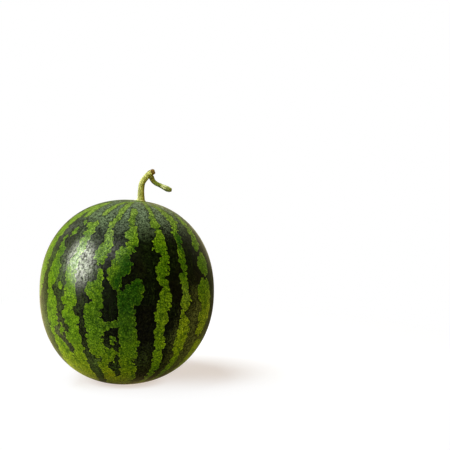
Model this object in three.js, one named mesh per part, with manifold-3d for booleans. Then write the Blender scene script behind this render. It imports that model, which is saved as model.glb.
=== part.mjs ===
// A whole striped watermelon with its cut stalk, standing on a small flat spot.
// Millimetres, +Z up. The origin lies on the flat spot, straight below the middle of the fruit.
// The front is -Y, and the stalk end leans towards +X.
import * as THREE from "three";
import { mergeVertices } from "three/addons/utils/BufferGeometryUtils.js";
import Module from "manifold-3d";

const wasm = await Module();
wasm.setup();

// The fruit: a round body a little taller than wide, with full shoulders.
const WAIST_RADIUS = 134.7;
const HALF_HEIGHT = 142.5;
const FULLNESS = 2.16; // exponent of the side outline: 2 is an ellipse, more is squarer
const UNDERSIDE_SHIFT = 3.5; // how far the lowest point lies aside of the middle, towards -X
const RESTING_DEPTH = 2.4; // how much of the underside the flat spot takes away

// The stalk end, where the meridians of the fruit meet in a shallow hollow.
const STALK_LEAN = THREE.MathUtils.degToRad(8.2);
const HOLLOW_DEPTH = 1.6;
const HOLLOW_WIDTH = 17; // distance from the stalk at which the hollow has faded to a third
const SOCKET_RADIUS = 7.2; // round flat-bottomed socket that the foot of the stalk stands in
const SOCKET_DEPTH = 0.8;

// The stalk: stations along its middle line, from its foot to its cut tip.
const GAP = 0.3; // clearance between the foot and the socket
const STALK = [
  { at: [0, 0, 0], radius: 6.6 },
  { at: [0.3, 0, 2], radius: 6.6 },
  { at: [0.5, 0, 4.4], radius: 5.8 },
  { at: [0.5, 0.2, 9.4], radius: 5.3 },
  { at: [0.6, 0.6, 16.8], radius: 5.0 },
  { at: [1.2, 1.1, 24.1], radius: 4.8 },
  { at: [2.5, 1.5, 29.6], radius: 4.7 },
  { at: [5.5, 1.9, 34.9], radius: 4.6 },
  { at: [9.4, 2.3, 39.4], radius: 4.6 },
  { at: [13.4, 2.6, 43.3], radius: 4.6 },
  { at: [17.4, 2.8, 45.8], radius: 4.9 },
  { at: [20.4, 2.8, 47.1], radius: 4.7 },
  { at: [22.2, 2.8, 47.8], radius: 3.2 },
];

// The stub of side vine: from inside the stalk to its swollen, cut end.
const VINE = [
  { at: [14, 2.5, 43.3], radius: 2.8 },
  { at: [16.9, 1.8, 37.7], radius: 4.1 },
  { at: [18.4, 1.2, 34], radius: 3.7 },
  { at: [21.7, 0, 30.3], radius: 3.4 },
  { at: [25.4, -1.3, 28.1], radius: 3.3 },
  { at: [29.2, -2.5, 26.4], radius: 3.3 },
  { at: [33.7, -3.8, 24.4], radius: 3.5 },
  { at: [37.4, -4.8, 22.6], radius: 4.1 },
  { at: [40.8, -5.6, 21], radius: 4.3 },
  { at: [44.6, -6.3, 19.8], radius: 3.8 },
  { at: [47.8, -6.8, 19.4], radius: 2.5 },
];
const RIDGES = 5; // soft ridges along stalk and vine
const RIDGE_HEIGHT = 0.045; // as a share of the radius

// Fineness of the meshes.
const MERIDIANS = 72;
const PARALLELS = 46;
const SOCKET_SIDES = 40;
const TUBE_SIDES = 18;
const TUBE_STEPS = 26;

const middleHeight = HALF_HEIGHT - RESTING_DEPTH;
const stalkAxis = new THREE.Vector3(Math.sin(STALK_LEAN), 0, Math.cos(STALK_LEAN));

const rindMaterial = new THREE.MeshStandardMaterial({
  color: 0x3c5a17,
  roughness: 0.42,
  metalness: 0,
});
const stalkMaterial = new THREE.MeshStandardMaterial({
  color: 0x9a9a3c,
  roughness: 0.72,
  metalness: 0,
});

// A closed geometry as a solid.
function solidOf(geometry) {
  const bare = geometry.clone();
  bare.deleteAttribute("normal");
  bare.deleteAttribute("uv");
  const merged = mergeVertices(bare, 1e-3);
  return new wasm.Manifold(
    new wasm.Mesh({
      numProp: 3,
      vertProperties: new Float32Array(merged.attributes.position.array),
      triVerts: new Uint32Array(merged.index.array),
    }),
  );
}

// A solid as a geometry with flat faces.
function geometryOf(solid) {
  const mesh = solid.getMesh();
  const shared = new THREE.BufferGeometry();
  shared.setAttribute("position", new THREE.BufferAttribute(mesh.vertProperties, 3));
  shared.setIndex(new THREE.BufferAttribute(mesh.triVerts, 1));
  const geometry = shared.toNonIndexed();
  geometry.computeVertexNormals();
  return geometry;
}

// Distance from the middle of the fruit to its plain outline, along a direction of length 1.
function outlineDistance(direction) {
  const across = Math.hypot(direction.x, direction.y) / WAIST_RADIUS;
  const along = Math.abs(direction.z) / HALF_HEIGHT;
  return (across ** FULLNESS + along ** FULLNESS) ** (-1 / FULLNESS);
}

// The point of the rind along a direction, with the underside moved aside and the hollow
// round the stalk pressed in.
function rindPoint(direction) {
  const point = direction.clone().multiplyScalar(outlineDistance(direction));
  const lowness = Math.max(0, -point.z / HALF_HEIGHT);
  point.x -= UNDERSIDE_SHIFT * lowness ** 2;
  if (point.dot(stalkAxis) > 0) {
    const fromStalk = point.clone().projectOnPlane(stalkAxis).length();
    const depth = HOLLOW_DEPTH * Math.exp(-((fromStalk / HOLLOW_WIDTH) ** 2));
    point.addScaledVector(stalkAxis, -depth);
  }
  return point;
}

// The middle of the socket's flat bottom, from the middle of the fruit.
const socketBottom = rindPoint(stalkAxis).addScaledVector(stalkAxis, -SOCKET_DEPTH);

// The rind as a ball whose poles lie on the stalk's axis, drawn out to the fruit's shape.
function rindGeometry() {
  const ball = new THREE.SphereGeometry(1, MERIDIANS, PARALLELS);
  ball.rotateX(Math.PI / 2);
  ball.rotateY(STALK_LEAN);
  const position = ball.attributes.position;
  const direction = new THREE.Vector3();
  for (let i = 0; i < position.count; i++) {
    direction.fromBufferAttribute(position, i).normalize();
    const point = rindPoint(direction);
    position.setXYZ(i, point.x, point.y, point.z);
  }
  return ball;
}

// What the flat spot takes away: a slab whose top face lies at the resting height.
function groundGeometry() {
  const side = 2 * WAIST_RADIUS;
  const slab = new THREE.BoxGeometry(side, side, HALF_HEIGHT);
  return slab.translate(0, 0, -middleHeight - HALF_HEIGHT / 2);
}

// What the socket takes away: a cylinder that stands on the socket's bottom.
function socketGeometry() {
  const height = 10 * SOCKET_DEPTH;
  const plug = new THREE.CylinderGeometry(SOCKET_RADIUS, SOCKET_RADIUS, height, SOCKET_SIDES);
  plug.translate(0, height / 2, 0);
  plug.rotateX(Math.PI / 2);
  plug.rotateY(STALK_LEAN);
  return plug.translate(...socketBottom.toArray());
}

// A closed, softly ridged tube along stations: a cylinder whose rings are moved onto the line.
function tubeGeometry(stations) {
  const line = new THREE.CatmullRomCurve3(
    stations.map((station) => new THREE.Vector3(...station.at)),
    false,
    "centripetal",
  );
  const radii = new THREE.SplineCurve(
    stations.map((station, k) => new THREE.Vector2(k, station.radius)),
  );
  const frames = line.computeFrenetFrames(TUBE_STEPS, false);
  const tube = new THREE.CylinderGeometry(1, 1, 1, TUBE_SIDES, TUBE_STEPS);
  const position = tube.attributes.position;
  for (let i = 0; i < position.count; i++) {
    const x = position.getX(i);
    const z = position.getZ(i);
    const step = Math.round((position.getY(i) + 0.5) * TUBE_STEPS);
    const t = line.getUtoTmapping(step / TUBE_STEPS);
    const ridge = 1 + RIDGE_HEIGHT * Math.cos(RIDGES * Math.atan2(z, x));
    const radius = radii.getPoint(t).y * ridge;
    const point = line.getPoint(t);
    point.addScaledVector(frames.normals[step], radius * x);
    point.addScaledVector(frames.binormals[step], -radius * z);
    position.setXYZ(i, point.x, point.y, point.z);
  }
  return tube;
}

function makeFruit() {
  const whole = solidOf(rindGeometry());
  const standing = whole.subtract(solidOf(groundGeometry()));
  const fruit = standing.subtract(solidOf(socketGeometry()));
  const mesh = new THREE.Mesh(geometryOf(fruit), rindMaterial);
  mesh.name = "fruit";
  return mesh;
}

function makeStem() {
  const stem = solidOf(tubeGeometry(STALK)).add(solidOf(tubeGeometry(VINE)));
  const mesh = new THREE.Mesh(geometryOf(stem), stalkMaterial);
  mesh.name = "stem";
  mesh.position.copy(socketBottom).addScaledVector(stalkAxis, GAP);
  return mesh;
}

const watermelon = new THREE.Group();
watermelon.position.z = middleHeight;
watermelon.add(makeFruit(), makeStem());

export default watermelon;
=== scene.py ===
"""A whole striped watermelon with its cut stalk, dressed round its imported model."""

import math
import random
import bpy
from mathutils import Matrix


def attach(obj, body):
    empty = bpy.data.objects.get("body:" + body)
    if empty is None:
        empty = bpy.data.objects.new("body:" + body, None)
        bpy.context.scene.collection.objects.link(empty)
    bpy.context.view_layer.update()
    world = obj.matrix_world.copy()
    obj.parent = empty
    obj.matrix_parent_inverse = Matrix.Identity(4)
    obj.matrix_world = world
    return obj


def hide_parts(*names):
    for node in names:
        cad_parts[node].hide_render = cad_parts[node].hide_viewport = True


bl_info = {
    "name": "Striped Watermelon",
    "version": (1, 0, 0),
    "blender": (4, 5, 0),
    "location": "View3D > Sidebar > Watermelon",
    "description": "Builds the rind, the stalk and a plain studio round the packed model",
    "category": "Add Mesh",
}

import bmesh
import bpy
import numpy as np
from mathutils import Matrix, Vector, noise
from mathutils.kdtree import KDTree

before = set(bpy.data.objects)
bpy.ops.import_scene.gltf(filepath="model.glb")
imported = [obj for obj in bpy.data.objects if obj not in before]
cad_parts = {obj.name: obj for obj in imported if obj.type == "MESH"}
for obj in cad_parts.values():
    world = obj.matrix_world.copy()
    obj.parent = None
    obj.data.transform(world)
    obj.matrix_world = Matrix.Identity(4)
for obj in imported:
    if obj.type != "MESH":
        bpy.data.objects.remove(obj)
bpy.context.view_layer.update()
BODY = "root"
MM = 0.001

# The fruit, as its solid is: metres, standing on a flat spot at height 0.
WAIST_RADIUS = 134.7 * MM
HALF_HEIGHT = 142.5 * MM
FULLNESS = 2.16  # exponent of the side outline: 2 is an ellipse, more is squarer
UNDERSIDE_SHIFT = 3.5 * MM
RESTING_DEPTH = 2.4 * MM
MIDDLE = Vector((0, 0, HALF_HEIGHT - RESTING_DEPTH))
STALK_LEAN = math.radians(8.2)
STALK_AXIS = Vector((math.sin(STALK_LEAN), 0, math.cos(STALK_LEAN)))
RIGHT_AXIS = Vector((math.cos(STALK_LEAN), 0, -math.sin(STALK_LEAN)))
FRONT_AXIS = Vector((0, -1, 0))
HOLLOW_DEPTH = 1.6 * MM
HOLLOW_WIDTH = 17 * MM
MOUND_HEIGHT = 1.3 * MM  # the rind rises again close to the stalk
MOUND_WIDTH = 8.5 * MM
SOCKET_DEPTH = 0.8 * MM
GAP = 0.3 * MM
RIDGES = 5
RIDGE_HEIGHT = 0.045  # as a share of the radius

# The stalk and the stub of side vine, as their solid is: (place from the foot, radius) in millimetres.
STALK = [
    ((0, 0, 0), 6.6), ((0.3, 0, 2), 6.6), ((0.5, 0, 4.4), 5.8), ((0.5, 0.2, 9.4), 5.3),
    ((0.6, 0.6, 16.8), 5.0), ((1.2, 1.1, 24.1), 4.8), ((2.5, 1.5, 29.6), 4.7), ((5.5, 1.9, 34.9), 4.6),
    ((9.4, 2.3, 39.4), 4.6), ((13.4, 2.6, 43.3), 4.6), ((17.4, 2.8, 45.8), 4.9), ((20.4, 2.8, 47.1), 4.7),
    ((22.2, 2.8, 47.8), 3.2),
]
VINE = [
    ((14, 2.5, 43.3), 2.8), ((16.9, 1.8, 37.7), 4.1), ((18.4, 1.2, 34), 3.7), ((21.7, 0, 30.3), 3.4),
    ((25.4, -1.3, 28.1), 3.3), ((29.2, -2.5, 26.4), 3.3), ((33.7, -3.8, 24.4), 3.5),
    ((37.4, -4.8, 22.6), 4.1), ((40.8, -5.6, 21), 4.3), ((44.6, -6.3, 19.8), 3.8),
    ((47.8, -6.8, 19.4), 2.5),
]

CUT_FACING = np.array([0.86, 0, 0.51])  # the dried tip ends in a slanting cut
CUT_PLACE = 43.9  # its distance from the foot, in millimetres, along its facing

# Stretches of the stalk and the vine, in millimetres: ranges over which something sets in or fades.
# Those named END are counted back from the end, and the others on from the foot.
DRY_END = (7.5, 5.5)
PALE_END = (19, 16)
DULL_END = (13, 7)
CUT_END = (4, 1.5)
GREEN_FOOT = (1.6, 2.4)
BARK = (9, 20)
DULLING = 0.75  # how much the pale end dulls again towards its cut

# Their relief: places, widths and heights in millimetres, and finenesses in lumps a millimetre.
LIP_PLACE = 2.4
LIP_WIDTH = 0.8
LIP_HEIGHT = 0.8
JOINT_WIDTH = 1.2
FIBRE_HEIGHT = 0.09
FIBRE_FINENESS = 1.5
FIBRE_STRETCH = 0.14  # how much less often fibres change lengthwise than across
VINE_FIBRES = 100  # shift along the line that gives the vine fibres of its own
WAVE_HEIGHT = 0.2
WAVE_FINENESS = 0.2
CRUMPLE_HEIGHT = 0.35
CRUMPLE_FINENESS = 0.42
SHRINKING = 0.45  # how much the dried tip has shrunk, all round

# Fineness of the stalk, in millimetres where it is a spacing.
RING_SPACING = 1.2
TUBE_SIDES = 32
SKIN_SPACING = 0.36
SKIN_SMOOTHINGS = 3

# Light stripes of the front, listed one by one: (latitude, west edge, east edge) in degrees.
# Latitude 90 is the stalk, longitude 0 faces the front, and east is to the right of it.
FRONT_STRIPES = {
    "west_rim": [
        (66, -84, -72), (48, -84, -68), (30, -84, -70), (14, -84, -68), (0, -84, -71), (-9, -82, -75),
    ],
    "west_rim_low": [
        (-17, -85, -81), (-22, -88, -79), (-29, -87, -80), (-36, -89, -78), (-44, -88, -78), (-54, -88, -75),
        (-64, -87, -76), (-74, -90, -74),
    ],
    "west_top": [(70, -76, -66), (61, -73, -60), (53, -66, -56), (50, -63, -59)],
    "west_spur": [(49, -55, -51), (46, -56, -49), (44, -53, -50)],
    "west_islet": [(41, -57, -52), (38, -59, -52), (34, -59, -56)],
    "west": [
        (34, -62, -59), (31, -64, -58), (28, -63, -57), (26, -62, -53), (22, -62, -54), (19, -62, -55),
        (16, -63, -51), (8, -64, -51), (4, -63, -55), (1, -62, -56), (-1, -62, -53), (-6, -62, -50),
        (-12, -62, -49), (-21, -62, -48), (-25, -61, -53), (-30, -60, -57),
    ],
    "left_top": [(78, -48, -38), (70, -48, -40), (64, -46, -38), (60, -45, -38), (55, -43, -39)],
    "left": [
        (50, -42, -37), (47, -49, -36), (45, -49, -36), (42, -46, -35), (36, -44, -35), (26, -44, -36),
        (16, -46, -37), (8, -45, -36), (0, -44, -33), (-4, -46, -32), (-8, -43, -35), (-10, -43, -35),
        (-13, -44, -30), (-18, -43, -30), (-22, -39, -29), (-25, -42, -28), (-29, -43, -27),
        (-33, -39, -26), (-37, -36, -26), (-44, -41, -24), (-52, -45, -22), (-60, -47, -19),
        (-74, -48, -20),
    ],
    "left_islet": [(7, -49, -46), (5, -52, -45), (2, -50, -46)],
    "left_low_islet": [(-19, -46, -44), (-23, -48, -42), (-28, -48, -44)],
    "low_left": [
        (-27, -59, -54), (-31, -58, -48), (-35, -58, -42), (-40, -58, -37), (-50, -60, -36), (-60, -64, -38),
        (-74, -66, -42),
    ],
    "inner_left_top": [
        (80, -34, -24), (70, -29, -20), (64, -29, -20), (60, -26, -20), (54, -27, -18), (50, -28, -22),
        (46, -27, -20), (40, -26, -18), (36, -26, -16), (32, -27, -17), (27, -28, -18), (22, -25, -20),
    ],
    "inner_left": [
        (19, -23, -18), (13, -23, -17), (10, -29, -17), (5, -28, -16), (2, -27, -15), (0, -21, -15),
        (-3, -27, -15), (-6, -28, -15), (-10, -27, -15), (-13, -27, -12), (-17, -26, -11),
        (-20, -25, -12), (-24, -25, -12), (-28, -24, -11), (-32, -22, -10), (-35, -22, -10),
        (-38, -18, -14),
    ],
    "bridge": [(-10, -7, -3), (-13, -13, -3), (-16, -14, -8), (-19, -13, -10)],
    "dot": [(-21, -9.5, -3), (-26, -9.5, -3)],
    "low_patch": [(-29, -11, -3), (-33, -13, 0), (-37, -13, -4), (-40, -10, -2)],
    "low_inner_left": [
        (-38, -12, -4), (-42, -17, -6), (-46, -16, -4), (-50, -14, 0), (-54, -12, 2), (-57, -11, 4),
        (-66, -10, 4), (-76, -12, 4),
    ],
    "centre_top": [
        (68, -14, -6), (64, -12, -2), (60, -11, -4), (55, -12, -2), (50, -9, -1), (46, -12, 0),
        (43, -11, 1), (41, -6, 2), (37, -9, 2), (33, -12, 0), (31, -14, -4), (27, -15, 0), (22, -15, 0),
        (19, -17, -2), (17, -16, -6), (11, -13, -5), (8, -9, -8),
    ],
    "centre": [
        (17, 2, 7), (14, -1, 9), (11, -4, 9), (9, -4, 9), (8, -7, 9), (3, -7, 8), (1, -6, 4), (-3, -6, 6),
        (-7, -5, 7), (-11, -4, 9), (-15, -3, 8), (-20, -3, 10), (-24, -2, 13), (-28, -1, 12),
        (-32, -2, 14), (-36, 0, 12), (-40, 1, 15), (-45, 2, 19), (-50, 4, 21), (-54, 3, 22),
        (-57, 0, 22), (-66, -2, 24), (-76, -4, 26),
    ],
    "inner_right": [
        (82, 9, 19), (72, 12, 20), (66, 14, 20), (61, 12, 21), (56, 10, 23), (52, 14, 23), (48, 16, 24),
        (45, 13, 25), (40, 11, 25), (36, 13, 26), (34, 19, 27), (30, 17, 26), (25, 15, 26), (20, 15, 24),
        (17, 18, 26), (13, 20, 28), (6, 18, 28), (1, 17, 28), (-3, 17, 27), (-8, 19, 28), (-15, 19, 28),
        (-21, 21, 30), (-28, 23, 31), (-35, 25, 34), (-40, 28, 36), (-48, 29, 37), (-58, 33, 39),
        (-72, 34, 42),
    ],
    "right": [
        (78, 35, 47), (64, 36, 52), (59, 36, 52), (55, 36, 46), (51, 33, 43), (46, 34, 44), (41, 35, 40),
        (37, 33, 41), (30, 33, 42), (25, 35, 40), (20, 32, 41), (16, 34, 42), (12, 35, 41), (8, 35, 45),
        (3, 35, 44), (-1, 36, 40), (-4, 36, 44), (-8, 37, 46), (-13, 36, 48), (-18, 36, 47),
        (-27, 38, 48), (-30, 41, 48), (-36, 42, 50), (-44, 41, 51), (-56, 44, 52),
        (-72, 48, 60),
    ],
    "east_top": [(66, 63, 73), (54, 59, 71), (47, 58, 69), (42, 53, 68), (38, 55, 62)],
    "east_leaf": [(36, 59, 66), (32, 54, 68), (29, 52, 69), (25, 55, 68), (22, 59, 64)],
    "east": [
        (20, 54, 64), (16, 50, 67), (11, 50, 68), (7, 52, 69), (2, 55, 69), (-4, 53, 69), (-9, 55, 66),
        (-14, 54, 65), (-18, 58, 61),
    ],
    "low_east": [(-20, 60, 71), (-26, 59, 74), (-34, 58, 72), (-46, 60, 71), (-60, 62, 71), (-74, 66, 78)],
    "fleck": [(53, 7, 9), (51, 7, 10)],
}

# Patches of deeper green in the front stripes, partly their own deeper green and partly painted shade where
# the front and the low right of the fruit are darker: (latitude, longitude, half height, half width) in
# degrees, and how deep.
DEEP_AND_SHADED_PATCHES = [
    (24, -3, 9, 6, 1), (14, -6, 8, 6, 1), (16, 2, 9, 9, 1), (4, 0, 13, 10, 0.95), (0, -5, 11, 6, 0.9),
    (-12, 0, 12, 8, 0.7), (-14, -18, 24, 12, 0.35), (-30, 14, 18, 14, 0.25), (-34, 6, 20, 12, 0.45),
    (-30, -12, 20, 10, 0.45), (-4, -16, 14, 4, 0.45), (43, 40, 7, 5, 1), (35, 2, 5, 4, 0.9),
    (28, 34, 10, 8, 0.45), (30, 20, 12, 8, 0.3), (36, -55, 18, 10, 0.5), (24, -40, 8, 7, 0.4),
    (20, 55, 30, 12, 0.35), (-38, -36, 22, 13, 0.3), (-55, 38, 20, 24, 0.6),
]

# Stretches where the dark ground is lighter olive, partly its own faded mottling and partly painted sheen
# and bounce light on the sides and near the stalk, in the same form.
FADED_AND_LIT_PATCHES = [
    (-12, -56, 52, 30, 0.8), (-22, 54, 33, 18, 1.3), (-46, 0, 24, 40, 0.3), (64, -25, 16, 60, 1),
    (-40, -20, 16, 12, 1),
]
PATCH_EDGE = (0.5, 1.5)  # where a patch fades, as shares of its half height or width

# The lobes that the light stripes are made of, from large to small: (spacing, radius) in millimetres.
LOBES = [(9.5, 5.4), (6.2, 3.7), (4.2, 2.5)]
SCATTER_SHAKE = 0.3  # how far they are shaken out of even places, as a share of the spacing
LOBE_SIZES = (0.72, 1.15)  # range of their radii, as shares
LOBE_INSET = 0.62  # share of a lobe's radius that has to fit inside its stripe
LOBE_SHAKE = 0.7  # millimetres by which that is relaxed or tightened at random
LOBE_LOSS = 0.06  # share of the lobes that are left out
LOBE_FADE = 4  # how far outside a lobe its distance is still worked out
STRIPE_END_REACH = 1.5  # how far a stripe runs on past its first and last latitude
STRIPE_SINK = 3.5  # how far inside its outline a stripe is filled without lobes
STALK_END_RISE = 4.6  # how much further out it is filled close to the stalk
STALK_END = (1.74 * HALF_HEIGHT, 1.92 * HALF_HEIGHT)  # heights over which this sets in
FAR_OUTSIDE = -20.0  # depth of points that lie far outside every stripe
CROWN_EDGE = (84.5, 86.5)  # latitudes over which the green ring round the stalk begins

# Light stripes of the back: evenly spaced, with the rest drawn by a seeded rule. In degrees.
BACK_WEST = 83
BACK_EAST = 270
BACK_COUNT = 10
BACK_END = 84  # latitude of their ends
BACK_HALF_WIDTHS = (4.2, 5.2)
BACK_WIDTH_CHANGES = (0.7, 1.3)
BACK_STEPS = (3, 7)  # degrees of latitude from station to station
DRIFT_MEMORY = 0.7  # share of a stripe's drift aside that is kept at the next station
DRIFT_STEP = 1.6
BEND_START = -40  # latitude below which every stripe bends eastwards
BEND_STEP = 0.5
BREAK_CHANCE = 0.08
BREAK_LIMIT = 60  # latitude beyond which no stripe is broken
BREAK_GAP = 3
BREAK_TIP = 1  # half width of a stripe where it is broken


def soft_step(values, low, high):
    """0 below low, 1 above high and a smooth rise between them."""
    t = np.clip((values - low) / (high - low), 0, 1)
    return t * t * (3 - 2 * t)


# ---------------------------------------------------------------- shader sums


class Number:
    """A number in a node tree. Sums with it add Math nodes."""

    def __init__(self, nodes, socket):
        self.nodes = nodes
        self.socket = socket

    def __add__(self, other):
        return self.nodes.math("ADD", self, other)

    def __sub__(self, other):
        return self.nodes.math("SUBTRACT", self, other)

    def __rsub__(self, other):
        return self.nodes.math("SUBTRACT", other, self)

    def __mul__(self, other):
        return self.nodes.math("MULTIPLY", self, other)

    __radd__ = __add__
    __rmul__ = __mul__

    def step(self, low, high):
        """0 below low, 1 above high and a smooth rise between them."""
        sockets = {"Value": self, "From Min": low, "From Max": high}
        return self.nodes.number("ShaderNodeMapRange", 0, {"interpolation_type": "SMOOTHSTEP"}, sockets)


class Nodes:
    """The nodes of one material or world."""

    def __init__(self, tree):
        tree.nodes.clear()
        self.tree = tree

    def add(self, kind, settings=None, sockets=None):
        """A new node: its settings come first, then the values or links of its sockets."""
        node = self.tree.nodes.new(kind)
        for name, value in (settings or {}).items():
            setattr(node, name, value)
        for name, value in (sockets or {}).items():
            if isinstance(value, Number):
                value = value.socket
            if isinstance(value, bpy.types.NodeSocket):
                self.tree.links.new(value, node.inputs[name])
            else:
                node.inputs[name].default_value = value
        return node

    def number(self, kind, output, settings=None, sockets=None):
        """One output of a new node, as a number."""
        return Number(self, self.add(kind, settings, sockets).outputs[output])

    def math(self, operation, *terms):
        return self.number("ShaderNodeMath", 0, {"operation": operation}, dict(enumerate(terms)))

    def vector(self, operation, first, second=None, scale=None, output=0):
        """A vector worked out from one or two others."""
        sockets = {0: first}
        if second is not None:
            sockets[1] = second
        if scale is not None:
            sockets["Scale"] = scale
        return self.add("ShaderNodeVectorMath", {"operation": operation}, sockets).outputs[output]

    def mix(self, share, first, second):
        """The first colour, or the second where share is 1."""
        return self.add("ShaderNodeMix", {"data_type": "RGBA"}, {0: share, 6: first, 7: second}).outputs[2]

    def attribute(self, name):
        return self.number("ShaderNodeAttribute", "Fac", {"attribute_name": name})

    def noise(self, point, size, detail=2.0, roughness=0.5):
        """Cloudy noise from 0 to 1, with lumps of about a size in the point's unit."""
        sockets = {"Vector": point, "Scale": 1 / size, "Detail": detail, "Roughness": roughness}
        return self.number("ShaderNodeTexNoise", 0, None, sockets)

    def cell_walls(self, point, size):
        """The distance from the walls of a net of cells of a size, in the point's unit."""
        settings = {"feature": "DISTANCE_TO_EDGE"}
        sockets = {"Vector": point, "Scale": 1 / size}
        return self.number("ShaderNodeTexVoronoi", "Distance", settings, sockets) * size

    def stir(self, point, size, reach):
        """A point pushed about at random, by up to about a reach, so that patterns lose their evenness."""
        sockets = {"Vector": point, "Scale": 1 / size, "Detail": 1.0}
        push = self.add("ShaderNodeTexNoise", None, sockets).outputs["Color"]
        push = self.vector("SUBTRACT", push, (0.5, 0.5, 0.5))
        return self.vector("ADD", point, self.vector("SCALE", push, scale=2 * reach))

    def point(self):
        """The place on the piece, in millimetres."""
        place = self.add("ShaderNodeTexCoord").outputs["Object"]
        return self.vector("SCALE", place, scale=1 / MM)

    def tall(self, point, share):
        """A point whose height counts less, so that patterns on it are drawn out upwards."""
        return self.vector("MULTIPLY", point, (1, 1, share))

    def parts(self, vector):
        """The three numbers of a vector."""
        outputs = self.add("ShaderNodeSeparateXYZ", None, {0: vector}).outputs
        return [Number(self, output) for output in outputs]

    def bump(self, height, distance):
        """A normal bent by a height, in units of a distance."""
        sockets = {"Strength": 1.0, "Distance": distance, "Height": height}
        return self.add("ShaderNodeBump", None, sockets).outputs[0]

    def shader(self, kind, sockets):
        return self.add("ShaderNode" + kind, None, sockets).outputs[0]

    def finish(self, kind, shader):
        """Ends the tree of a material or a world in a shader."""
        self.add("ShaderNodeOutput" + kind, None, {"Surface": shader})


def new_material(name):
    material = bpy.data.materials.new(name)
    material.use_nodes = True
    return material, Nodes(material.node_tree)


# ---------------------------------------------------------------- rind


def ball(cuts):
    """A ball of radius 1 in even quads: a cube cut fine, with its points moved out."""
    shape = bmesh.new()
    bmesh.ops.create_cube(shape, size=2)
    bmesh.ops.subdivide_edges(shape, edges=shape.edges[:], cuts=cuts, use_grid_fill=True)
    for vert in shape.verts:
        vert.co = Vector([math.tan(part * math.pi / 4) for part in vert.co]).normalized()
    bmesh.ops.recalc_face_normals(shape, faces=shape.faces[:])
    return shape


def rind_points(directions):
    """Where the rind lies along directions from the middle of the fruit."""
    across = np.hypot(directions[:, 0], directions[:, 1]) / WAIST_RADIUS
    along = np.abs(directions[:, 2]) / HALF_HEIGHT
    distance = (across**FULLNESS + along**FULLNESS) ** (-1 / FULLNESS)
    points = directions * distance[:, None]
    lowness = np.maximum(0, -points[:, 2] / HALF_HEIGHT)
    points[:, 0] -= UNDERSIDE_SHIFT * lowness**2
    axis = np.array(STALK_AXIS)
    height = points @ axis
    from_stalk = np.linalg.norm(points - height[:, None] * axis, axis=1)
    depth = HOLLOW_DEPTH * np.exp(-((from_stalk / HOLLOW_WIDTH) ** 2))
    depth = (depth - MOUND_HEIGHT * np.exp(-((from_stalk / MOUND_WIDTH) ** 4))) * (height > 0)
    points = points - depth[:, None] * axis + np.array(MIDDLE)
    points[:, 2] = np.maximum(points[:, 2], 0)
    return points


def stalk_foot():
    """Where the stalk's own origin lies: the middle of its foot."""
    top = Vector(rind_points(np.array([STALK_AXIS]))[0])
    return top - STALK_AXIS * (MOUND_HEIGHT + SOCKET_DEPTH - GAP)


def back_stripes(seed):
    """Light stripes for the part of the rind that the front list leaves bare."""
    draw = random.Random(seed)
    spacing = (BACK_EAST - BACK_WEST) / BACK_COUNT
    stripes = []
    for k in range(BACK_COUNT):
        centre = BACK_WEST + (k + 0.5) * spacing
        half = draw.uniform(*BACK_HALF_WIDTHS)
        stations = []
        latitude = BACK_END
        drift = 0
        while latitude > -BACK_END:
            drift = DRIFT_MEMORY * drift + draw.uniform(-DRIFT_STEP, DRIFT_STEP)
            if latitude < BEND_START:
                drift += BEND_STEP
            middle = centre + drift
            reach = half * draw.uniform(*BACK_WIDTH_CHANGES)
            stations.append((latitude, middle - reach, middle + reach))
            if draw.random() < BREAK_CHANCE and abs(latitude) < BREAK_LIMIT:
                stations[-1] = (latitude, middle - BREAK_TIP, middle + BREAK_TIP)
                stripes.append(stations)
                latitude -= BREAK_GAP
                stations = [(latitude, middle - BREAK_TIP, middle + BREAK_TIP)]
            latitude -= draw.uniform(*BACK_STEPS)
        stripes.append(stations)
    return stripes


def stripe_depth(latitude, longitude, stations):
    """Millimetres from the edge of one light stripe, positive inside it."""
    stations = np.array(sorted(stations), float)
    west = np.interp(latitude, stations[:, 0], stations[:, 1])
    east = np.interp(latitude, stations[:, 0], stations[:, 2])
    middle = (west + east) / 2
    aside = np.abs((longitude - middle + 180) % 360 - 180)
    degree = math.radians(1) * WAIST_RADIUS / MM
    inside = ((east - west) / 2 - aside) * degree * np.cos(np.radians(latitude))
    above = (latitude - stations[0, 0]) * degree
    below = (stations[-1, 0] - latitude) * degree
    return np.minimum(inside, np.minimum(above, below) + STRIPE_END_REACH)


def patch_strength(latitude, longitude, patches):
    """The strength of the patches in their middles, falling smoothly to 0 past their edges."""
    total = np.zeros(len(latitude))
    for middle, across, half_height, half_width, strength in patches:
        away = np.hypot((latitude - middle) / half_height, (longitude - across) / half_width)
        total = np.maximum(total, strength * (1 - soft_step(away, *PATCH_EDGE)))
    return total


def vertex_numbers(mesh, name):
    """The places or the normals of a mesh's points, as rows of three numbers."""
    numbers = np.empty(len(mesh.vertices) * 3)
    mesh.vertices.foreach_get(name, numbers)
    return numbers.reshape(-1, 3)


def paint(mesh, name, values):
    """Keeps one number a point on a mesh, for its material to read."""
    layer = mesh.attributes.new(name, "FLOAT", "POINT")
    layer.data.foreach_set("value", values.astype(np.float32))


def places(directions):
    """Latitude and longitude, in degrees, of directions from the middle of the fruit."""
    latitude = np.degrees(np.arcsin(np.clip(directions @ np.array(STALK_AXIS), -1, 1)))
    longitude = np.degrees(np.arctan2(directions @ np.array(RIGHT_AXIS), directions @ np.array(FRONT_AXIS)))
    return latitude, longitude


def stripes_depth(directions, seed):
    """Millimetres from the edge of the light stripes along directions, positive inside them."""
    latitude, longitude = places(directions)
    depth = np.full(len(directions), FAR_OUTSIDE)
    for stations in [*FRONT_STRIPES.values(), *back_stripes(seed)]:
        depth = np.maximum(depth, stripe_depth(latitude, longitude, stations))
    return depth


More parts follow.
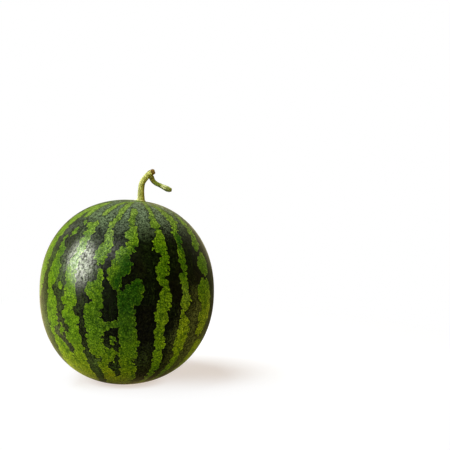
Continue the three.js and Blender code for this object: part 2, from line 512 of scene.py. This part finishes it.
def scattered_directions(spacing, draw):
    """Directions about evenly spread over the fruit: a spiral from pole to pole, shaken at random."""
    radius = (WAIST_RADIUS * 2 + HALF_HEIGHT) / 3 / MM
    count = round(4 * math.pi * (radius / spacing) ** 2)
    height = 1 - (2 * np.arange(count) + 1) / count
    turn = np.arange(count) * math.pi * (3 - math.sqrt(5))
    across = np.sqrt(1 - height**2)
    directions = np.stack([across * np.cos(turn), across * np.sin(turn), height], axis=1)
    directions += draw.normal(0, SCATTER_SHAKE * spacing / radius, directions.shape)
    return directions / np.linalg.norm(directions, axis=1)[:, None]


def grow_lobes(points, depth, seed):
    """Fills the light stripes with round lobes. Gives each point's depth inside them, in millimetres,
    and how near it is to the middle of a lobe, from 0 to 1."""
    draw = np.random.default_rng(seed)
    tree = KDTree(len(points))
    for index, point in enumerate(points):
        tree.insert(point / MM, index)
    tree.balance()
    near_stalk = soft_step(points[:, 2], *STALK_END)
    edge = np.maximum(depth - STRIPE_SINK + STALK_END_RISE * near_stalk, FAR_OUTSIDE)
    core = np.zeros(len(points))
    for spacing, radius in LOBES:
        directions = scattered_directions(spacing, draw)
        radii = radius * draw.uniform(*LOBE_SIZES, len(directions))
        room = stripes_depth(directions, seed) - radii * LOBE_INSET
        room = room + draw.normal(0, LOBE_SHAKE, len(directions))
        chosen = (room > 0) & (draw.random(len(directions)) > LOBE_LOSS)
        middles = rind_points(directions[chosen]) / MM
        for middle, reach in zip(middles, radii[chosen]):
            for _place, index, away in tree.find_range(middle, reach + LOBE_FADE):
                edge[index] = max(edge[index], reach - away)
                core[index] = max(core[index], 1 - away / reach)
    return edge, core


def paint_stripes(mesh, directions, seed):
    """Writes the pattern of the light stripes to the rind's mesh."""
    depth = stripes_depth(directions, seed)
    edge, core = grow_lobes(vertex_numbers(mesh, "co"), depth, seed)
    latitude, longitude = places(directions)
    paint(mesh, "stripe", edge)
    paint(mesh, "lobe", core)
    paint(mesh, "deep_and_shaded", patch_strength(latitude, longitude, DEEP_AND_SHADED_PATCHES))
    paint(mesh, "faded_and_lit", patch_strength(latitude, longitude, FADED_AND_LIT_PATCHES))
    paint(mesh, "crown", soft_step(latitude, *CROWN_EDGE))


class Pattern:
    """What the colours and the wax of the rind have in common. Its places are in millimetres."""

    def __init__(self, nodes):
        self.point = nodes.point()
        self.aside, _back, self.up = nodes.parts(self.point)
        # Near the stalk, where the stripes and the ground are given a pale greyish veil: partly the wax's
        # bloom, partly painted sheen of the light above.
        self.high = self.up.step(224, 278)
        self.edge = nodes.attribute("stripe")
        self.dents = 1 - nodes.attribute("lobe").step(0.08, 0.42)
        ragged = (nodes.noise(self.point, 2.6, 2, 0.6) - 0.5) * 3.6
        self.light = (self.edge + ragged - self.dents * 0.8).step(-0.3, 0.3)
        self.rim = self.light * (1 - self.edge.step(0.4, 1.8))
        self.fleck = nodes.noise(self.point, 2.3, 3, 0.7)


def vein_net(nodes, look, pattern):
    """Veins of the stripes: a fine net, deeper seams here and there, and dents where lobes meet."""
    stirred = nodes.stir(pattern.point, 3, 0.9)
    net = 1 - nodes.cell_walls(stirred, look.vein_spacing / MM).step(0.08, 0.7)
    patchy = nodes.noise(pattern.point, 6, 2).step(0.3, 0.6)
    veins = nodes.math("MAXIMUM", net * (patchy * 0.6 + 0.3), pattern.dents)
    seams = 1 - nodes.cell_walls(stirred, look.lobe_spacing / MM).step(0.15, 0.85)
    seams = seams * nodes.noise(pattern.point, 9, 2).step(0.4, 0.55)
    return nodes.math("MAXIMUM", veins, seams) * (1 - pattern.rim * 0.5)


def stripe_colour(nodes, look, pattern, veins):
    """Greens of the light stripes: olive low on the left and on the right, partly painted warm bounce light,
    paler near the stalk, partly painted sheen, with pale rims and specks.
    """
    tone = nodes.noise(pattern.point, 22, 3).step(0.35, 0.65)
    green = nodes.mix(tone, look.light_green, look.fresh_green)
    # Olive low on the left and on the right: partly the stripes' own olive, partly painted warm bounce light
    # from the floor and from beside.
    olive_bounce_left = (1 - pattern.up.step(-5, 105)) * (1 - pattern.aside.step(-30, 60))
    olive_bounce_right = pattern.aside.step(20, 120) * (1 - pattern.up.step(100, 190)) * 0.7
    green = nodes.mix(olive_bounce_left + olive_bounce_right, green, look.olive_and_bounce_green)
    # Paler near the stalk: partly the wax's bloom, partly painted sheen.
    green = nodes.mix(pattern.high * 0.7, green, look.pale_bloom_and_sheen)
    speck = pattern.fleck.step(0.51, 0.67)
    green = nodes.mix(pattern.rim * 0.4 + speck * 0.4, green, look.rim_green)
    # Deeper green patches: partly the stripes' own, partly painted shade where the front is darker.
    deep_and_shaded = nodes.attribute("deep_and_shaded") * (1 - pattern.rim * 0.4 - speck * 0.25)
    green = nodes.mix(deep_and_shaded, green, look.deep_green_and_shade)
    green = nodes.mix(veins * (0.9 - pattern.high * 0.3), green, look.vein_green)
    lively = 1 - pattern.aside.step(-20, -105)
    shade = (pattern.fleck.step(0.3, 0.7) - 0.5) * (lively * 0.9 + 0.7) + 1.16
    return nodes.vector("SCALE", green, scale=shade)


def ground_colour(nodes, look, pattern):
    """Near-black green between the stripes, with long faint streaks, mottles and fine specks, lighter olive
    in stretches as partly painted sheen and bounce light, browner towards the right as painted warm bounce
    light, and greyish near the stalk as partly painted sheen.
    """
    faded_and_lit = nodes.attribute("faded_and_lit")
    streaks = nodes.noise(nodes.tall(pattern.point, 0.16), 4.5, 3).step(0.35, 0.75)
    brown = nodes.noise(pattern.point, 60, 2).step(0.4, 0.62)
    mottles = nodes.noise(pattern.point, 5, 3, 0.6).step(0.4, 0.7)
    specks = pattern.fleck.step(0.44, 0.64)
    # The streaks turn browner towards the right: painted warm bounce light from beside.
    mottle = nodes.mix(pattern.aside.step(-20, 90) * 0.8, look.mottle_green, look.mottle_brown_and_bounce)
    # Lighter olive in stretches: partly faded mottling, partly painted sheen and bounce light.
    dark = nodes.mix(faded_and_lit * 0.9 + streaks * 0.06, look.dark_green, mottle)
    dark = nodes.mix(brown * (1 - faded_and_lit * 0.5), dark, look.dark_brown)
    # Greyish near the stalk, more so towards the right: partly the wax's bloom, partly painted sheen.
    top = pattern.high * (pattern.aside.step(-100, 20) * 0.7 + 0.3)
    dark = nodes.mix(top, dark, look.top_bloom_and_sheen)
    shade = (0.05 + streaks * 0.35 + mottles * 1.3 + specks * 2.4) * pattern.edge.step(2.5, -3)
    return nodes.vector("SCALE", dark, scale=shade)


def rind_material(look):
    """Lobed light stripes with a net of veins, on streaked near-black green, under a waxy sheen."""
    material, nodes = new_material("waxy_rind")
    pattern = Pattern(nodes)
    veins = vein_net(nodes, look, pattern)
    ground = ground_colour(nodes, look, pattern)
    colour = nodes.mix(pattern.light, ground, stripe_colour(nodes, look, pattern, veins))
    colour = nodes.mix(nodes.attribute("crown") * 0.8, colour, look.fresh_green)

    # The wax: pores and soft lumps, and a gloss that fades where the skin is seen at a slant.
    pores = nodes.noise(pattern.point, look.pore_size / MM, 2, 0.6)
    lumps = nodes.noise(nodes.tall(pattern.point, 0.45), 7, 2)
    smears = nodes.noise(nodes.tall(pattern.point, 0.35), 3.2, 3, 0.65)
    height = pores * 0.2 + lumps * 0.3 - veins * pattern.light * 0.06
    gloss = smears.step(0.36, 0.62) * 0.6 + pattern.fleck.step(0.41, 0.59) * 0.55
    low = 1 - pattern.up.step(90, 170)
    slant = nodes.number("ShaderNodeLayerWeight", "Facing", None, {"Blend": 0.5})
    wax = (1 - pattern.light * (low * 0.5 + 0.25)) * (1 - slant.step(0.4, 0.8))
    finish = {
        "Base Color": colour,
        "Roughness": 0.36,
        "Specular IOR Level": 0.0,
        "Sheen Weight": 0.4,
        "Sheen Roughness": 0.28,
        "Sheen Tint": look.bloom_tint,
        "Coat Weight": gloss * wax,
        "Coat Roughness": 0.27,
        "Normal": nodes.bump(height, MM),
    }
    nodes.finish("Material", nodes.shader("BsdfPrincipled", finish))
    return material


# ---------------------------------------------------------------- stalk


def untwisted(tangents):
    """Turns of the Z axis onto the tangents, each the smallest change from the one before."""
    turns = [Vector((0, 0, 1)).rotation_difference(Vector(tangents[0]))]
    for before, after in zip(tangents, tangents[1:]):
        turns.append(Vector(before).rotation_difference(Vector(after)) @ turns[-1])
    return turns


class Line:
    """The curved middle line of a stalk, sampled evenly, with a radius and two sideways axes along it."""

    def __init__(self, stations):
        corners = np.array([place for place, _radius in stations], float)
        steps = np.linalg.norm(np.diff(corners, axis=0), axis=1)
        lengths = np.concatenate([[0], np.cumsum(steps)])
        slopes = np.gradient(corners, lengths, axis=0)
        self.length = lengths[-1]
        self.along = np.linspace(0, self.length, round(self.length / RING_SPACING) + 1)
        segment = np.clip(np.searchsorted(lengths, self.along, side="right") - 1, 0, len(steps) - 1)
        span = steps[segment]
        t = (self.along - lengths[segment]) / span
        start, end = corners[segment], corners[segment + 1]
        leave, arrive = slopes[segment] * span[:, None], slopes[segment + 1] * span[:, None]
        t = t[:, None]
        self.places = (
            (2 * t**3 - 3 * t**2 + 1) * start + (t**3 - 2 * t**2 + t) * leave
            + (3 * t**2 - 2 * t**3) * end + (t**3 - t**2) * arrive
        )
        radii = np.array([radius for _place, radius in stations], float)
        self.radii = np.interp(self.along, lengths, radii)
        tangents = np.gradient(self.places, axis=0)
        tangents /= np.linalg.norm(tangents, axis=1)[:, None]
        self.turns = untwisted(tangents)
        self.sides = np.array([turn @ Vector((1, 0, 0)) for turn in self.turns])
        self.ups = np.array([turn @ Vector((0, 1, 0)) for turn in self.turns])

    def nearest(self, points):
        """For points: the nearest sample of the line, the distance from it and the angle round it."""
        away = points[:, None, :] - self.places[None, :, :]
        index = np.argmin(np.einsum("ijk,ijk->ij", away, away), axis=1)
        out = points - self.places[index]
        across = np.einsum("ij,ij->i", out, self.sides[index])
        upward = np.einsum("ij,ij->i", out, self.ups[index])
        reach = np.hypot(across, upward)
        return index, reach, np.arctan2(upward, across)


def add_tube(shape, line):
    """A closed tube round a line: a circle at each sample, joined ring to ring."""
    rings = []
    for place, radius, turn in zip(line.places, line.radii, line.turns):
        matrix = Matrix.LocRotScale(Vector(place), turn, None)
        made = bmesh.ops.create_circle(shape, segments=TUBE_SIDES, radius=radius, matrix=matrix)
        rings.append(list({edge for vert in made["verts"] for edge in vert.link_edges}))
    for lower, upper in zip(rings, rings[1:]):
        bmesh.ops.bridge_loops(shape, edges=lower + upper)
    bmesh.ops.edgeloop_fill(shape, edges=rings[0])
    bmesh.ops.edgeloop_fill(shape, edges=rings[-1])


def grown_together(shape):
    """One even skin over overlapping closed shapes, as a mesh."""
    bmesh.ops.recalc_face_normals(shape, faces=shape.faces[:])
    mesh = bpy.data.meshes.new("rough_stalk")
    shape.to_mesh(mesh)
    shape.free()
    rough = bpy.data.objects.new("rough_stalk", mesh)
    bpy.context.scene.collection.objects.link(rough)
    remesh = rough.modifiers.new("skin", "REMESH")
    remesh.mode = "VOXEL"
    remesh.voxel_size = SKIN_SPACING
    smooth = rough.modifiers.new("even", "SMOOTH")
    smooth.factor = 0.5
    smooth.iterations = SKIN_SMOOTHINGS
    evaluated = rough.evaluated_get(bpy.context.evaluated_depsgraph_get())
    skin = bpy.data.meshes.new_from_object(evaluated)
    bpy.data.objects.remove(rough)
    bpy.data.meshes.remove(mesh)
    return skin


def shape_stalk(mesh):
    """Ridges, fibres, the lip at the foot and the dried tip, with the numbers that the material reads, among
    them a painted light side and a painted shade side.
    """
    points = vertex_numbers(mesh, "co")
    normals = vertex_numbers(mesh, "normal")
    stalk, vine = Line(STALK), Line(VINE)
    stalk_index, stalk_reach, stalk_angle = stalk.nearest(points)
    vine_index, vine_reach, vine_angle = vine.nearest(points)
    nearer = (stalk_reach - stalk.radii[stalk_index]) - (vine_reach - vine.radii[vine_index])
    on_vine = soft_step(nearer, -JOINT_WIDTH, JOINT_WIDTH)
    on_stalk = 1 - on_vine
    stalk_along = stalk.along[stalk_index]
    vine_along = vine.along[vine_index]

    def near_end(line, along, stretch):
        return soft_step(along, line.length - stretch[0], line.length - stretch[1])

    def cloud(fineness, salt=0.0):
        shift = Vector((salt, salt, salt))
        return np.array([noise.noise(Vector(point) * fineness + shift) for point in points])

    def fibred(angle, radius, along):
        grain = np.stack([np.cos(angle) * radius, np.sin(angle) * radius, along * FIBRE_STRETCH], axis=1)
        return np.array([noise.noise(Vector(place) * FIBRE_FINENESS) for place in grain])

    def joined(on_stalk_values, on_vine_values):
        return on_stalk_values * on_stalk + on_vine_values * on_vine

    dry = near_end(stalk, stalk_along, DRY_END) * on_stalk
    pale = near_end(vine, vine_along, PALE_END) * on_vine
    pale *= 1 - DULLING * near_end(vine, vine_along, DULL_END)
    cut = near_end(vine, vine_along, CUT_END) * on_vine
    lip = np.exp(-(((stalk_along - LIP_PLACE) / LIP_WIDTH) ** 2)) * on_stalk
    groove = joined(np.cos(RIDGES * stalk_angle), np.cos(RIDGES * vine_angle))
    radius = joined(stalk.radii[stalk_index], vine.radii[vine_index])
    fibres = joined(
        fibred(stalk_angle, stalk.radii[stalk_index], stalk_along),
        fibred(vine_angle, vine.radii[vine_index], VINE_FIBRES + vine_along),
    )
    plain = (1 - np.maximum(dry, cut)) * (1 - 4 * on_vine * on_stalk)
    swell = RIDGE_HEIGHT * radius * groove * plain + FIBRE_HEIGHT * fibres + LIP_HEIGHT * lip
    swell += WAVE_HEIGHT * cloud(WAVE_FINENESS)
    swell += dry * (CRUMPLE_HEIGHT * cloud(CRUMPLE_FINENESS, 9) - SHRINKING)
    points += normals * swell[:, None]
    beyond = np.maximum(points @ CUT_FACING - CUT_PLACE, 0) * (dry > 0)
    points -= beyond[:, None] * CUT_FACING
    mesh.vertices.foreach_set("co", (points * MM).ravel())
    # Painted light and shade: the stalk's side that faces -X, towards the light, is painted paler, and the
    # side that faces +X is painted dark brown.
    aside = normals[:, 0] * on_stalk
    marks = {
        "dry": dry,
        "pale": pale,
        "cut": cut,
        "foot": (1 - soft_step(stalk_along, *GREEN_FOOT)) * on_stalk,
        "lip": lip,
        "fibre": fibres,
        "groove": groove,
        "vine": on_vine,
        "bark": on_vine * (1 - soft_step(vine_along, *BARK)),
        "painted_lit_side": soft_step(-aside, 0, 0.85),
        "painted_shade_side": soft_step(aside, 0.1, 0.95),
    }
    for name, values in marks.items():
        paint(mesh, name, values)


def stalk_material(look):
    """Dull yellow-green stalk with lengthwise fibres, brown where it has dried, with painted light on one
    side and painted shade on the other.
    """
    material, nodes = new_material("dull_stalk")
    point = nodes.point()
    fibre = nodes.attribute("fibre") * 0.5 + 0.5
    groove = nodes.attribute("groove") * 0.5 + 0.5
    blotch = nodes.noise(point, 4, 3)
    fine = nodes.noise(point, 0.9, 3, 0.6)
    dry = nodes.attribute("dry")

    green = nodes.mix(blotch.step(0.35, 0.65), look.stalk_green, look.stalk_yellow)
    green = nodes.mix((1 - groove) * 0.35 + fibre.step(0.5, 0.3) * 0.2, green, look.groove_green)
    # Painted light, paler, on the stalk's -X side, and painted shade, dark brown, on its +X side.
    green = nodes.mix(nodes.attribute("painted_lit_side") * 0.45, green, look.pale_end_and_painted_light)
    green = nodes.mix(nodes.attribute("painted_shade_side") * 0.75, green, look.vine_brown_and_painted_shade)
    bark = nodes.attribute("bark") * 0.7 + blotch.step(0.4, 0.7) * 0.2
    olive = nodes.mix(bark, look.vine_olive, look.vine_brown_and_painted_shade)
    body = nodes.mix(nodes.attribute("vine"), green, olive)
    pale = nodes.attribute("pale") * (0.45 + fibre.step(0.4, 0.6) * 0.55)
    body = nodes.mix(pale, body, look.pale_end_and_painted_light)
    body = nodes.mix(nodes.attribute("cut") * 0.8, body, look.groove_green)
    body = nodes.mix(dry, body, nodes.mix(fine.step(0.35, 0.65), look.dry_brown, look.dark_cut))
    body = nodes.mix(nodes.attribute("foot") * 0.8, body, look.foot_green)
    body = nodes.mix(nodes.attribute("lip") * 0.7, body, look.pale_end_and_painted_light)
    finish = {
        "Base Color": body,
        "Roughness": dry * 0.2 + 0.6,
        "Specular IOR Level": 0.1,
        "Sheen Weight": 0.05,
        "Sheen Roughness": 0.6,
        "Normal": nodes.bump(fine * 0.2 + fibre * 0.25, 0.5 * MM),
    }
    nodes.finish("Material", nodes.shader("BsdfPrincipled", finish))
    return material


def add_piece(name, mesh, material, node):
    """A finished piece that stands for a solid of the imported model."""
    piece = bpy.data.objects.new(name, mesh)
    bpy.context.scene.collection.objects.link(piece)
    mesh.materials.append(material)
    mesh.polygons.foreach_set("use_smooth", [True] * len(mesh.polygons))
    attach(piece, BODY)
    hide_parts(node)
    return piece


# ---------------------------------------------------------------- stage

# Lights: name, direction, size (metres), watts, colour and what it is for.
LIGHTS = [
    ("key", (-0.9, -0.02, 0.45), (1.0, 1.4), 12, (1, 1, 1), "shading"),
    ("overhead", (-0.32, -0.18, 0.93), (1.0, 1.0), 31, (1, 1, 1), "shading"),
    ("fill", (0.97, -0.24, -0.05), (1.0, 0.24), 14, (1.0, 0.88, 0.5), "shading"),
    ("gleam", (-0.85, -0.12, 0.55), (0.5, 1.0), 18, (0.97, 1, 0.86), "gloss"),
    ("sheen", (-0.84, -0.37, 0.44), (0.8, 1.0), 40, (0.97, 1, 0.86), "gloss"),
    ("haze", (-0.3, -0.58, 0.77), (0.7, 0.7), 4, (0.97, 1, 0.86), "gloss"),
    ("rim", (-0.59, 0.72, 0.3), (0.3, 0.9), 1.3, (1, 1, 0.9), "gloss"),
]
LIGHT_DISTANCE = 1.5

# The floor: a disc whose shadows the camera sees as tinted paper, in a white that has no edge.
FLOOR_RADIUS = 12
FLOOR_SIDES = 96
WHITE = (1, 1, 1, 1)
SHADED_PAPER = (0.42, 0.5, 0.56, 1)
SHADED_GLOW = (0.66, 0.58, 0.53, 1)
LIT_GREY = (0.45, 0.45, 0.43, 1)
GLOSS_GREY = (0.02, 0.02, 0.02, 1)
BOUNCE_TINT = (1, 0.95, 0.5, 1)
LEFT_GLOW = 2.5  # light that the floor left of the fruit throws up at it
RIGHT_GLOW = 0.15
FRONT_GLOW = 0.4
SHINE = 1.15  # how bright the floor behind and left looks in the gloss of the rind

# The room, which only the fruit sees: the light of its far wall, what its left adds, and the rest.
ROOM_TINT = (1, 0.98, 0.86, 1)
ROOM_GLOW = 0.3
ROOM_LEFT_GLOW = 0.5
ROOM_DARKNESS = 0.003

# The picture: its size, the camera's focal length, and the pixel that shows the middle of the fruit.
FRAME_PIXELS = 450
FOCAL_PIXELS = 1200
MIDDLE_PIXEL = (127.25, 291.44)
SENSOR_WIDTH = 36


def floor_material():
    """White with soft shadows near the fruit, and a grey that glows on the left in what the fruit sees."""
    material, nodes = new_material("white_floor")
    spot = nodes.add("ShaderNodeTexCoord").outputs["Object"]
    across, back, _up = nodes.parts(spot)
    away = Number(nodes, nodes.vector("LENGTH", spot, output=1))
    rays = nodes.add("ShaderNodeLightPath").outputs
    glossy = Number(nodes, rays["Is Glossy Ray"])

    # What the camera sees.
    open_side = nodes.math("MAXIMUM", 1 - back.step(-0.1, 0.06), 1 - across.step(-0.1, -0.05))
    far = nodes.math("MAXIMUM", away.step(0.35, 0.8), open_side * away.step(0.035, 0.07) * 0.9)
    paper = nodes.shader("BsdfDiffuse", {"Color": SHADED_PAPER})
    glow = nodes.shader("Emission", {"Color": SHADED_GLOW, "Strength": 1.0})
    white = nodes.shader("Emission", {"Color": WHITE, "Strength": 1.0})
    near = nodes.shader("AddShader", {0: paper, 1: glow})
    shown = nodes.shader("MixShader", {0: far, 1: near, 2: white})

    # What lights the fruit and shows in its gloss.
    left = 1 - across.step(-0.17, -0.03)
    right = across.step(0.0, 0.25)
    front = (1 - back.step(-0.13, -0.03)) * (1 - right.step(0, 0.6))
    behind = back.step(-0.14, 0.04)
    bounced = (left * LEFT_GLOW + right * RIGHT_GLOW + front * FRONT_GLOW) * (1 - glossy)
    shine = left * behind * SHINE * glossy
    strength = bounced * (1 - away.step(0.25, 0.65)) + shine * (1 - away.step(0.35, 0.9))
    paper = nodes.shader("BsdfDiffuse", {"Color": nodes.mix(glossy, LIT_GREY, GLOSS_GREY)})
    glow = nodes.shader("Emission", {"Color": BOUNCE_TINT, "Strength": strength})
    unseen = nodes.shader("AddShader", {0: paper, 1: glow})

    both = nodes.shader("MixShader", {0: rays["Is Camera Ray"], 1: unseen, 2: shown})
    nodes.finish("Material", both)
    return material


def add_floor():
    """A round floor that reaches past the edges of every view."""
    shape = bmesh.new()
    bmesh.ops.create_circle(shape, cap_ends=True, segments=FLOOR_SIDES, radius=FLOOR_RADIUS)
    mesh = bpy.data.meshes.new("floor")
    shape.to_mesh(mesh)
    shape.free()
    mesh.materials.append(floor_material())
    floor = bpy.data.objects.new("floor", mesh)
    bpy.context.scene.collection.objects.link(floor)


def add_world(scene):
    """A white backdrop, and a room that is bright behind and above the fruit and dark in front of it."""
    world = bpy.data.worlds.new("studio")
    world.use_nodes = True
    scene.world = world
    nodes = Nodes(world.node_tree)
    across, back, up = nodes.parts(nodes.add("ShaderNodeTexCoord").outputs["Generated"])
    behind = back.step(0.0, 0.95)
    above = up.step(0.0, 0.6)
    left = 1 - across.step(-0.3, 0.6)
    glow = behind * above * (ROOM_GLOW + left * ROOM_LEFT_GLOW) + ROOM_DARKNESS
    seen = nodes.add("ShaderNodeLightPath").outputs["Is Camera Ray"]
    room = nodes.shader("Background", {"Color": ROOM_TINT, "Strength": glow})
    backdrop = nodes.shader("Background", {"Color": WHITE, "Strength": 1.0})
    nodes.finish("World", nodes.shader("MixShader", {0: seen, 1: room, 2: backdrop}))


def add_light(name, direction, size, watts, colour, use):
    """A soft light that faces the middle of the fruit, either for its shading or for its gloss."""
    light = bpy.data.lights.new(name, "AREA")
    light.shape = "ELLIPSE"
    light.size, light.size_y = size
    light.energy = watts
    light.color = colour
    lamp = bpy.data.objects.new(name, light)
    direction = Vector(direction).normalized()
    lamp.location = MIDDLE + direction * LIGHT_DISTANCE
    lamp.rotation_euler = direction.to_track_quat("Z", "Y").to_euler()
    lamp.visible_glossy = use == "gloss"
    lamp.visible_diffuse = use == "shading"
    bpy.context.scene.collection.objects.link(lamp)


def add_lights(look):
    strengths = {"shading": look.shading, "gloss": look.gloss}
    for name, direction, size, watts, colour, use in LIGHTS:
        add_light(name, direction, size, watts * strengths[use], colour, use)


def add_camera(scene, look):
    """A camera that looks at the fruit from the front, shows it off centre and keeps its shift at 0."""
    lens = bpy.data.cameras.new("camera")
    lens.sensor_width = SENSOR_WIDTH
    lens.lens = look.focal_widths * SENSOR_WIDTH
    camera = bpy.data.objects.new("camera", lens)
    away = Vector((0, -math.cos(look.elevation), math.sin(look.elevation)))
    camera.location = MIDDLE + away * look.distance
    focal = look.focal_widths * FRAME_PIXELS
    half = FRAME_PIXELS / 2
    aim = Vector((MIDDLE_PIXEL[0] - half, half - MIDDLE_PIXEL[1], -focal)).normalized()
    turn = aim.rotation_difference(Vector((0, 0, -1)))
    camera.rotation_mode = "QUATERNION"
    camera.rotation_quaternion = away.to_track_quat("Z", "Y") @ turn
    scene.collection.objects.link(camera)
    scene.camera = camera


# ---------------------------------------------------------------- settings


def tint(name, description, default):
    """A colour that a user can change."""
    return bpy.props.FloatVectorProperty(
        name=name, description=description, size=4, subtype="COLOR", default=(*default, 1)
    )


class RindLook(bpy.types.PropertyGroup):
    """Fineness, pattern and colours of the rind."""

    cuts: bpy.props.IntProperty(
        name="Cuts", description="Cuts along each edge of the starting cube", default=120
    )
    seed: bpy.props.IntProperty(name="Seed", description="Which back stripes are drawn", default=7)
    vein_spacing: bpy.props.FloatProperty(
        name="Vein spacing", description="Width of the meshes in the net of veins",
        default=3.1 * MM, unit="LENGTH",
    )
    lobe_spacing: bpy.props.FloatProperty(
        name="Lobe spacing", description="Distance between the deeper seams in the light stripes",
        default=8.5 * MM, min=4 * MM, max=30 * MM, unit="LENGTH",
    )
    pore_size: bpy.props.FloatProperty(
        name="Pore size", description="Width of the fine bumps of the skin",
        default=1.7 * MM, unit="LENGTH",
    )
    light_green: tint("Light green", "Yellowish green of the stripes", (0.112, 0.222, 0.001))
    fresh_green: tint("Fresh green", "Cooler green of the stripes", (0.087, 0.19, 0.001))
    # Partly the stripes' own olive, partly painted warm bounce light low on the left and on the right.
    olive_and_bounce_green: tint("Olive green", "Riper tone of the stripes", (0.23, 0.225, 0.003))
    # Partly the stripes' own deeper green, partly painted shade where the front is darker.
    deep_green_and_shade: tint("Deep green", "Patches of deeper green in the stripes", (0.006, 0.048, 0.001))
    rim_green: tint("Rim green", "Paler rims of the lobes", (0.23, 0.33, 0.015))
    # Partly the wax's bloom, partly painted sheen of the light above, on the stripes near the stalk.
    pale_bloom_and_sheen: tint("Pale green", "Stripes near the stalk", (0.15, 0.215, 0.04))
    # Partly the wax's bloom, partly painted sheen of the light above, on the dark ground near the stalk.
    top_bloom_and_sheen: tint("Top green", "Dark ground near the stalk", (0.056, 0.08, 0.042))
    vein_green: tint("Vein green", "Net of veins in the stripes", (0.014, 0.042, 0.001))
    dark_green: tint("Dark green", "Near-black ground of the rind", (0.0024, 0.005, 0.0005))
    mottle_green: tint("Mottle green", "Faint streaks in the dark ground", (0.031, 0.054, 0.009))
    # Painted warm bounce light: the streaks take this browner colour towards the right.
    mottle_brown_and_bounce: tint("Mottle brown", "The same streaks on the browner side", (0.05, 0.052, 0.009))
    dark_brown: tint("Dark brown", "Brownish stretches of the dark ground", (0.003, 0.003, 0.0005))
    bloom_tint: tint("Bloom tint", "Sheen of the wax seen at a slant", (1.0, 0.91, 0.5))


class StalkLook(bpy.types.PropertyGroup):
    """Colours of the stalk and the vine."""

    stalk_green: tint("Stalk green", "Greener tone of the stalk", (0.34, 0.35, 0.03))
    stalk_yellow: tint("Stalk yellow", "Yellower tone of the stalk", (0.56, 0.57, 0.13))
    groove_green: tint("Groove green", "Darker tone between the ridges", (0.16, 0.16, 0.01))
    vine_olive: tint("Vine olive", "Tone of the side vine", (0.15, 0.2, 0.006))
    # Also the painted shade on the stalk's +X side.
    vine_brown_and_painted_shade: tint("Vine brown", "Brownish stretches of the side vine", (0.15, 0.11, 0.005))
    # Also the painted light on the stalk's -X side.
    pale_end_and_painted_light: tint("Pale end", "Swollen end of the vine", (0.62, 0.64, 0.27))
    dry_brown: tint("Dry brown", "Dried tip", (0.23, 0.13, 0.01))
    dark_cut: tint("Dark cut", "Darkest parts of the dried ends", (0.1, 0.056, 0.006))
    foot_green: tint("Foot green", "Tissue at the foot", (0.07, 0.12, 0.02))


class StageLook(bpy.types.PropertyGroup):
    """Camera and light of the plain studio."""

    focal_widths: bpy.props.FloatProperty(
        name="Focal length", description="In picture widths", default=FOCAL_PIXELS / FRAME_PIXELS
    )
    distance: bpy.props.FloatProperty(
        name="Distance", description="Camera to fruit", default=1.872, unit="LENGTH"
    )
    elevation: bpy.props.FloatProperty(
        name="Elevation", description="Height of the camera above the fruit",
        default=math.radians(9.1), unit="ROTATION",
    )
    shading: bpy.props.FloatProperty(name="Shading", description="Strength of the soft lights", default=1)
    gloss: bpy.props.FloatProperty(name="Gloss", description="Strength of the reflected lights", default=1)


# ---------------------------------------------------------------- operators


class WATERMELON_OT_fruit(bpy.types.Operator):
    """Build the rind with its stripes"""

    bl_idname = "watermelon.fruit"
    bl_label = "Fruit"

    def execute(self, context):
        look = context.scene.watermelon_rind
        shape = ball(look.cuts)
        mesh = bpy.data.meshes.new("rind")
        shape.to_mesh(mesh)
        shape.free()
        directions = vertex_numbers(mesh, "co")
        mesh.vertices.foreach_set("co", rind_points(directions).ravel())
        paint_stripes(mesh, directions, look.seed)
        piece = add_piece("rind", mesh, rind_material(look), "fruit")
        return {"FINISHED"}


class WATERMELON_OT_stalk(bpy.types.Operator):
    """Build the stalk with its stub of side vine"""

    bl_idname = "watermelon.stalk"
    bl_label = "Stalk"

    def execute(self, context):
        look = context.scene.watermelon_stalk
        shape = bmesh.new()
        add_tube(shape, Line(STALK))
        add_tube(shape, Line(VINE))
        mesh = grown_together(shape)
        mesh.name = "stalk"
        shape_stalk(mesh)
        mesh.transform(Matrix.Translation(stalk_foot()))
        piece = add_piece("stalk", mesh, stalk_material(look), "stem")
        return {"FINISHED"}


class WATERMELON_OT_stage(bpy.types.Operator):
    """Set the floor, the lights and the camera"""

    bl_idname = "watermelon.stage"
    bl_label = "Studio"

    def execute(self, context):
        look = context.scene.watermelon_stage
        add_floor()
        add_world(context.scene)
        add_lights(look)
        add_camera(context.scene, look)
        context.scene.view_settings.view_transform = "Standard"
        return {"FINISHED"}


class VIEW3D_PT_watermelon(bpy.types.Panel):
    """Buttons that build the watermelon"""

    bl_label = "Watermelon"
    bl_space_type = "VIEW_3D"
    bl_region_type = "UI"
    bl_category = "Watermelon"

    def draw(self, context):
        for operator in OPERATORS:
            self.layout.operator(operator.bl_idname)


OPERATORS = (WATERMELON_OT_fruit, WATERMELON_OT_stalk, WATERMELON_OT_stage)
CLASSES = (RindLook, StalkLook, StageLook, *OPERATORS, VIEW3D_PT_watermelon)


def register():
    for item in CLASSES:
        bpy.utils.register_class(item)
    bpy.types.Scene.watermelon_rind = bpy.props.PointerProperty(type=RindLook)
    bpy.types.Scene.watermelon_stalk = bpy.props.PointerProperty(type=StalkLook)
    bpy.types.Scene.watermelon_stage = bpy.props.PointerProperty(type=StageLook)


def unregister():
    del bpy.types.Scene.watermelon_stage
    del bpy.types.Scene.watermelon_stalk
    del bpy.types.Scene.watermelon_rind
    for item in reversed(CLASSES):
        bpy.utils.unregister_class(item)


def main():
    register()
    bpy.ops.watermelon.fruit()
    bpy.ops.watermelon.stalk()
    bpy.ops.watermelon.stage()


if __name__ == "__main__":
    main()
